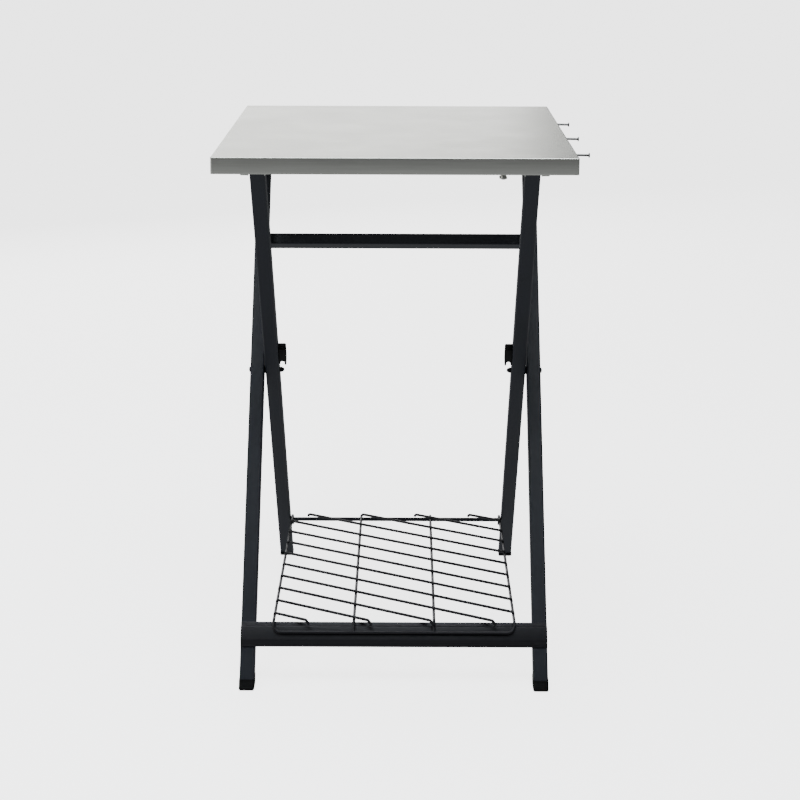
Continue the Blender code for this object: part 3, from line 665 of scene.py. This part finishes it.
class SIDETABLE_OT_shelf(SideTableOperator, bpy.types.Operator):
    """Bends and lays the shelf's wires: the side wire with its front loop, two runners, the slanting wires"""

    bl_idname = "side_table.shelf"
    bl_label = "Wire shelf"

    def execute(self, context):
        sizes = context.scene.side_table_sizes
        lean = sizes.outer_lean
        radius = sizes.wire / 2
        rod_low, rod_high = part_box("rear_shelf_rod")
        rod = (rod_low + rod_high) / 2
        rod_radius = (rod_high.y - rod_low.y) / 2
        level = rod.z + rod_radius + sizes.fit + radius
        out = Vector((0, -math.cos(lean), -math.sin(lean)))
        up = Vector((0, -math.sin(lean), math.cos(lean)))
        stand = sizes.tube / 2 + 2 * sizes.fit + sizes.rail_depth + radius

        def on_rail(x, z):
            """Where a wire that lies on the rail's band is, at a height."""
            along = (z - PIVOT.z - out.z * stand) / up.z
            place = Vector((PIVOT.x, PIVOT.y, PIVOT.z)) + out * stand + up * along
            return Vector((PIVOT.x + x, place.y, z))

        half, bend = sizes.shelf_half, sizes.wire_bend
        play, rear_hook, front_turn, runner_past_rod = 0.0008, 0.0126, 0.012, 0.003
        behind = rod.y + rod_radius + radius + play
        front = on_rail(0, level).y

        def at(x, y, z=level):
            return Vector((PIVOT.x + x, y, z))

        left = [
            (at(-half, behind, rod.z - rear_hook), bend),
            (at(-half, behind), bend),
            (on_rail(-half, level), bend),
            (on_rail(-half, SHELF_HOOK), front_turn),
        ]
        right = [(Vector((2 * PIVOT.x - p.x, p.y, p.z)), turn) for p, turn in reversed(left)]
        add_wire(left + right, radius, 16)
        hand_over("shelf_frame_wire", "wire_shelf")
        for side, sign in SIDES.items():
            x = sign * half / 3
            runner = [(at(x, rod.y + runner_past_rod), bend), (on_rail(x, level), bend)]
            runner.append((on_rail(x, SHELF_HOOK + 0.0002), bend))
            add_wire(runner, radius, 16)
            hand_over(f"shelf_runner_{side}", "wire_shelf")
        self.slanting_wires(sizes, rod.y, front, level, at)
        return {"FINISHED"}

    def slanting_wires(self, sizes, rod_y, front, level, at):
        """Lays the slanting wires on the side wires and the runners. Each one's ends curl down."""
        half, bend = sizes.shelf_half, sizes.wire_bend
        over = level + sizes.wire - WELD
        slope = math.tan(sizes.slant)
        shelf_back = rod_y - 0.01386  # the line on which the wires' pitch is measured
        rear, fore = rod_y - 0.0005, front - 0.0040
        rear_run, rear_drop = 0.0015, 0.0040
        front_run, front_drop = 0.0032, 0.008
        side_run, side_drop, side_bend = 0.0004, 0.0045, 0.002
        wires = []
        for k in range(sizes.slant_count):
            crossing = -half - SLANT_START + sizes.slant_pitch * (k - SLANTS_BEFORE)

            def at_y(y, z=over):
                return at(crossing + (shelf_back - y) / slope, y, z)

            def at_x(x, z=over):
                return at(x, shelf_back - (x - crossing) * slope, z)

            if at_y(rear).x - PIVOT.x > -half:
                route = [(at_y(rear, over - rear_drop), bend), (at_y(rear - rear_run), bend)]
            else:
                route = [(at_x(-half - side_run, over - side_drop), bend)]
                route += [(at_x(-half + side_run), side_bend)]
            if at_x(half).y < fore:
                route += [(at_y(fore), bend), (at_y(fore - front_run, over - front_drop), bend)]
            else:
                route += [(at_x(half - side_run), side_bend)]
                route += [(at_x(half + side_run, over - side_drop), bend)]
            add_wire(route, sizes.wire / 2, 12)
            wires.append(set_down())
        for wire in wires:
            wire.select_set(True)
        bpy.ops.object.join()
        bpy.ops.object.mode_set(mode="EDIT")
        hand_over("shelf_slanting_wires", "wire_shelf")


class SIDETABLE_OT_pivots(SideTableOperator, bpy.types.Operator):
    """Turns the pivot bolts, with a socket in each button head, and their domed nuts"""

    bl_idname = "side_table.pivots"
    bl_label = "Pivot bolts"

    def execute(self, context):
        head, socket, hexagon = 0.0029, 0.0017, 0.0050
        for side, sign in SIDES.items():
            low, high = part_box(f"pivot_bolt_{side}")
            nut_low, nut_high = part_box(f"pivot_nut_{side}")
            way = ACROSS * sign
            tip, inner = (high.x, low.x) if sign > 0 else (low.x, high.x)
            root = Vector((tip - sign * head, PIVOT.y, PIVOT.z))
            profile = [(0.0030, sign * (inner - root.x)), (0.0030, 0.0), (0.0048, 0.0), (0.0050, 0.0002)]
            add_turned(root, way, profile + dome(0.0050, 0.0006, 0.0023, range(0, 75, 12)), 40)
            bolt = set_down()
            add_turned(root, way, [(socket, 0.0012), (socket, 0.0040)], 6)
            carve(bolt, "DIFFERENCE")
            hand_over(f"bolt_{side}", f"pivot_bolt_{side}", crease=30)
            outer, end = (nut_high.x, nut_low.x) if sign > 0 else (nut_low.x, nut_high.x)
            seat = Vector((outer, PIVOT.y, PIVOT.z))
            profile = [(0.0044, 0.0), (0.0050, 0.0005), (0.0050, 0.0035), (0.0044, 0.0042)]
            add_turned(seat, -way, profile + dome(0.0040, 0.0042, 0.0038, range(0, 86, 12)), 36)
            nut = set_down()
            add_turned(seat, -way, [(hexagon, -0.001), (hexagon, 0.010)], 6)
            carve(nut, "INTERSECT")
            hand_over(f"nut_{side}", f"pivot_nut_{side}", crease=30)
        return {"FINISHED"}


class SIDETABLE_OT_locks(SideTableOperator, bpy.types.Operator):
    """Moulds the finger pulls of the leg locks, with rounded edges"""

    bl_idname = "side_table.locks"
    bl_label = "Leg locks"

    def execute(self, context):
        moulded_edge = 0.0007
        for side in SIDES:
            copy_node(f"leg_lock_{side}")
            soften_edges(moulded_edge, 3)
            hand_over(f"lock_pull_{side}", f"leg_lock_{side}")
        return {"FINISHED"}


class SIDETABLE_OT_hooks(SideTableOperator, bpy.types.Operator):
    """Makes the hook strip, its three headed pegs and the two screws that hold it"""

    bl_idname = "side_table.hooks"
    bl_label = "Hook strip"

    def execute(self, context):
        sizes = context.scene.side_table_sizes
        strip_corner, strip_edge, slot, slot_reach = 0.003, 0.0006, 0.0004, 0.0019
        droop = math.radians(0.8)
        low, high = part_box("hook_rail")
        add_block(low, high)
        pick("EDGE", lambda place, run: abs(run.x) > 0.9)
        round_off(strip_corner, 6)
        pick("EDGE", lambda place, run: place.x > high.x - TOUCH)
        round_off(strip_edge, 3)
        hand_over("hook_strip", "hook_rail")
        face = high.x
        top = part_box("worktop_pan")[1].z
        for name in ("front", "middle", "rear"):
            peg_low, peg_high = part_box(f"hook_peg_{name}")
            way = Vector((math.cos(droop), 0, -math.sin(droop)))
            root = Vector((face, (peg_low.y + peg_high.y) / 2, top - sizes.peg_drop))
            reach = (peg_high.x - face) / math.cos(droop) - 0.0001
            profile = [
                (0.0018, -0.0018), (0.0018, 0.0002), (0.0038, 0.0002), (0.0041, 0.0005),
                (0.0041, 0.0011), (0.0036, 0.0015), (0.0023, 0.0018), (0.0020, 0.0023),
                (0.0020, reach - 0.0030), (0.0022, reach - 0.0025), (0.0034, reach - 0.0021),
                (0.0039, reach - 0.0018), (0.0039, reach - 0.0006), (0.0036, reach - 0.0002),
                (0.0031, reach),
            ]
            add_turned(root, way, profile, 32)
            hand_over(f"peg_{name}", f"hook_peg_{name}", crease=30)
        for name in ("front", "rear"):
            screw_low, screw_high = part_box(f"rail_screw_{name}")
            middle = (screw_low + screw_high) / 2
            root = Vector((face, middle.y, middle.z))
            profile = [(0.0016, screw_low.x - face), (0.0016, 0.0003), (0.0031, 0.0003)]
            add_turned(root, ACROSS, profile + dome(0.0032, 0.0006, 0.0014, range(0, 75, 15)), 32)
            screw = set_down()
            for size in ((slot, slot_reach), (slot_reach, slot)):
                add_block(root + Vector((0.0010, -size[0], -size[1])), root + Vector((0.0040, *size)))
                carve(screw, "DIFFERENCE")
                screw = set_down()
            bpy.ops.object.mode_set(mode="EDIT")
            hand_over(f"strip_screw_{name}", f"rail_screw_{name}", crease=30)
        return {"FINISHED"}


class SIDETABLE_OT_stage(SideTableOperator, bpy.types.Operator):
    """Lays the pale floor, hangs the soft lights and sets the camera"""

    bl_idname = "side_table.stage"
    bl_label = "Studio"

    def light(self, name, place, target, size, power, tone=(1.0, 1.0, 1.0)):
        way = Vector(target) - Vector(place)
        start_fresh()
        bpy.ops.object.light_add(
            type="AREA", location=place, rotation=way.to_track_quat("-Z", "Y").to_euler()
        )
        lamp = bpy.context.object
        lamp.name = name
        lamp.data.shape = "RECTANGLE"
        lamp.data.size, lamp.data.size_y = size
        lamp.data.energy = power
        lamp.data.color = tone
        lamp.visible_camera = False

    def cove(self, colours):
        """A round floor of white paper that sweeps up into a wall. Only the camera sees it, so that the
        steel mirrors the softboxes and not the paper."""
        radius, height, sweep, under_feet = 24.0, 20.0, 4.0, 0.0004
        start_fresh()
        bpy.ops.mesh.primitive_cylinder_add(
            vertices=96,
            radius=radius,
            depth=height,
            end_fill_type="NGON",
            location=(0, 0, height / 2 - under_feet),
        )
        open_piece()
        pick("FACE", lambda place, normal: normal.z > 0.99)
        bpy.ops.mesh.delete(type="FACE")
        pick("EDGE", lambda place, run: place.z < 0.1)
        round_off(sweep, 16)
        bpy.ops.mesh.select_all(action="SELECT")
        bpy.ops.mesh.flip_normals()
        floor = set_down()
        floor.name = "studio_floor"
        bpy.ops.object.shade_smooth()
        paper = {
            "Base Color": (*colours.floor, 1.0),
            "Roughness": 0.9,
            "Specular IOR Level": 0.2,
            "Emission Color": (1.0, 1.0, 1.0, 1.0),
            "Emission Strength": 3.2,
        }
        floor.data.materials.append(new_finish("matt_studio_paper", paper)[0])
        floor.visible_diffuse = False
        floor.visible_glossy = False

    def execute(self, context):
        self.cove(context.scene.side_table_colours)
        self.light("rear_softbox", (-1.5, 3.5, 2.0), (0.0, 0.0, 0.9), (4.6, 2.2), 100.0)
        cool = (0.9, 0.95, 1.0)
        self.light("overhead_softbox", (-0.1, -0.35, 2.4), (0.0, -0.1, 0.0), (2.0, 1.6), 62.0, cool)
        self.light("side_softbox", (-2.2, -0.6, 1.1), (0.0, 0.0, 0.5), (1.4, 1.4), 14.0)
        world = bpy.data.worlds.new("studio_world")
        world.use_nodes = True
        tree = world.node_tree
        background = tree.nodes["Background"]
        way = add_node(tree, "ShaderNodeTexCoord").outputs["Generated"]
        height = add_node(tree, "ShaderNodeSeparateXYZ", {0: way}).outputs["Z"]
        walls = spread(tree, height, 0.0, 1.0, -0.55, 0.05)
        floor_glow, dim_ceiling = (0.93, 0.96, 1.0), (0.13, 0.135, 0.14)
        tree.links.new(tint(tree, walls, floor_glow, dim_ceiling), background.inputs["Color"])
        background.inputs["Strength"].default_value = 0.57
        context.scene.world = world
        heading, tilt, roll = 0.0026, math.radians(74.8), 0.003
        turn = Matrix.Rotation(heading, 4, "Z") @ Matrix.Rotation(tilt, 4, "X")
        turn = turn @ Matrix.Rotation(roll, 4, "Z")
        start_fresh()
        bpy.ops.object.camera_add(location=(0.0018, -3.3257, 1.314), rotation=turn.to_euler())
        camera = bpy.context.object
        camera.data.lens = 85.5
        camera.data.sensor_width = 36.0
        context.scene.camera = camera
        return {"FINISHED"}


class SIDETABLE_PT_build(bpy.types.Panel):
    """Lists the table's steps and sizes in the sidebar"""

    bl_label = "Folding Side Table"
    bl_idname = "SIDETABLE_PT_build"
    bl_space_type = "VIEW_3D"
    bl_region_type = "UI"
    bl_category = "Side Table"

    def draw(self, context):
        column = self.layout.column()
        for step in STEPS:
            column.operator(step.bl_idname)
        for group in (context.scene.side_table_sizes, context.scene.side_table_colours):
            for name in group.__annotations__:
                column.prop(group, name)


STEPS = (
    SIDETABLE_OT_finishes,
    SIDETABLE_OT_worktop,
    SIDETABLE_OT_brackets,
    SIDETABLE_OT_feet,
    SIDETABLE_OT_rail,
    SIDETABLE_OT_shelf,
    SIDETABLE_OT_pivots,
    SIDETABLE_OT_locks,
    SIDETABLE_OT_hooks,
    SIDETABLE_OT_stage,
)
CLASSES = (SideTableSizes, SideTableColours, *STEPS, SIDETABLE_PT_build)


def register():
    for cls in CLASSES:
        bpy.utils.register_class(cls)
    bpy.types.Scene.side_table_sizes = bpy.props.PointerProperty(type=SideTableSizes)
    bpy.types.Scene.side_table_colours = bpy.props.PointerProperty(type=SideTableColours)


def unregister():
    del bpy.types.Scene.side_table_colours
    del bpy.types.Scene.side_table_sizes
    for cls in reversed(CLASSES):
        bpy.utils.unregister_class(cls)


def main():
    register()
    bpy.ops.side_table.finishes()
    bpy.ops.side_table.worktop()
    bpy.ops.side_table.brackets()
    bpy.ops.side_table.feet()
    bpy.ops.side_table.rail()
    bpy.ops.side_table.shelf()
    bpy.ops.side_table.pivots()
    bpy.ops.side_table.locks()
    bpy.ops.side_table.hooks()
    bpy.ops.side_table.stage()


if __name__ == "__main__":
    main()
